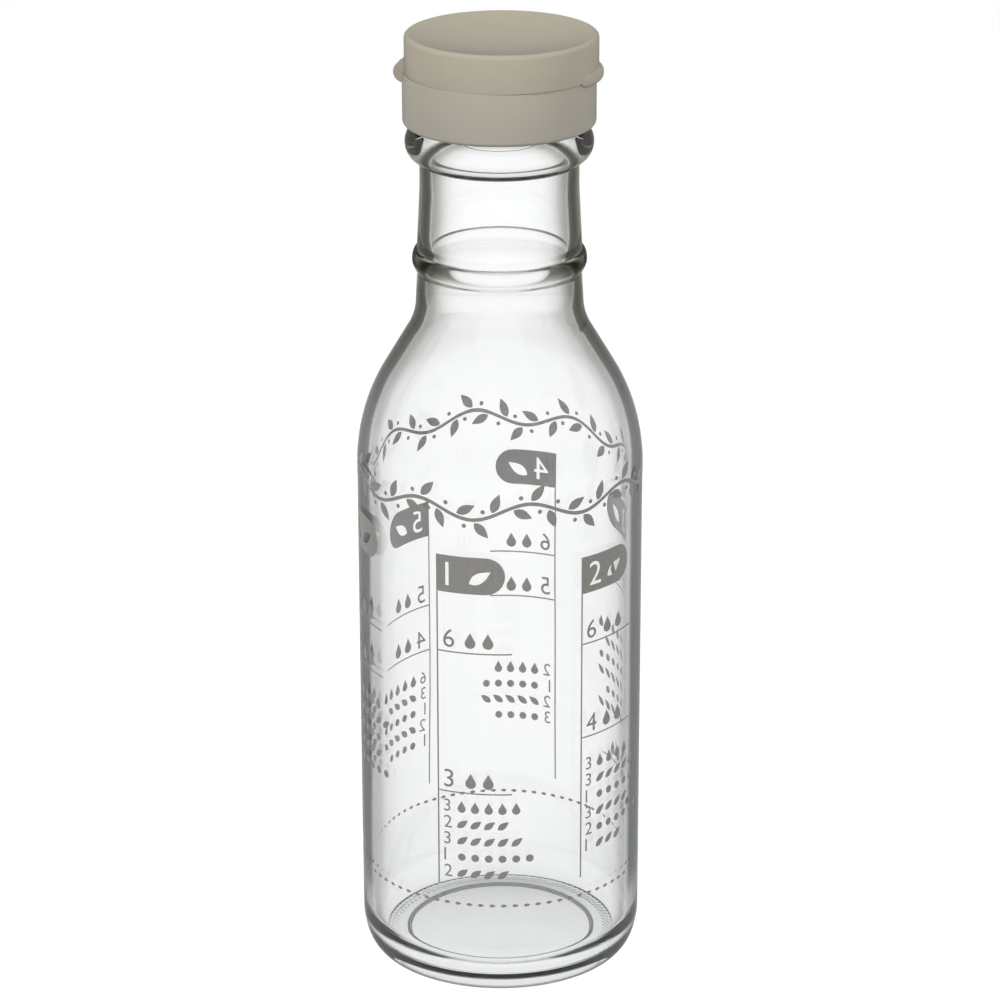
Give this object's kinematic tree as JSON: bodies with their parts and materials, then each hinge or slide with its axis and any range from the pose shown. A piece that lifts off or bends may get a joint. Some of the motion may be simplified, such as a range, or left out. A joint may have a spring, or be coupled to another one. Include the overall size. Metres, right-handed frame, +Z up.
{
  "type": "salad dressing shaker",
  "caption": "Round clear glass bottle with a narrow ringed neck, a screw collar with a pouring spout and a hinged flip-top lid, for measuring, mixing and shaking salad dressing.",
  "frame": {"origin": "centre of the ring that the bottle stands on", "axes": "+Z up along the bottle's axis, -Y towards the camera's side, which is the printed front; the lid's tab points 12 degrees in front of +X and its hinge is opposite"},
  "size_m": [0.0636, 0.0636, 0.2144],
  "materials": {
    "clear_glass": "polished",
    "putty_plastic": "satin",
    "soft_seal": "matte",
    "pin_steel": "drawn"
  },
  "bodies": {
    "bottle": {"bottle": "clear_glass"},
    "seal": {"neck_seal": "soft_seal"},
    "collar": {"collar": "putty_plastic", "hinge_pin": "pin_steel"},
    "lid": {"lid": "putty_plastic", "lid_seal": "soft_seal"}
  },
  "joints": [
    {"name": "collar_lift", "type": "slide", "parent": "bottle", "child": "seal", "axis": [0, 0, 1], "range_m": [0, 0.0053]},
    {"name": "collar_turn", "type": "hinge", "parent": "seal", "child": "collar", "pos_m": [0, 0, 0.2044], "axis": [0, 0, 1], "range_deg": [0, 450]},
    {"name": "lid_flip", "type": "hinge", "parent": "collar", "child": "lid", "pos_m": [-0.01915, 0.00407, 0.20627], "axis": [-0.2079, -0.9781, 0], "range_deg": [0, 120]}
  ],
  "couplings": [
    {"joint": "collar_lift", "follows": "collar_turn", "m_per_rad": 0.00067376}
  ]
}
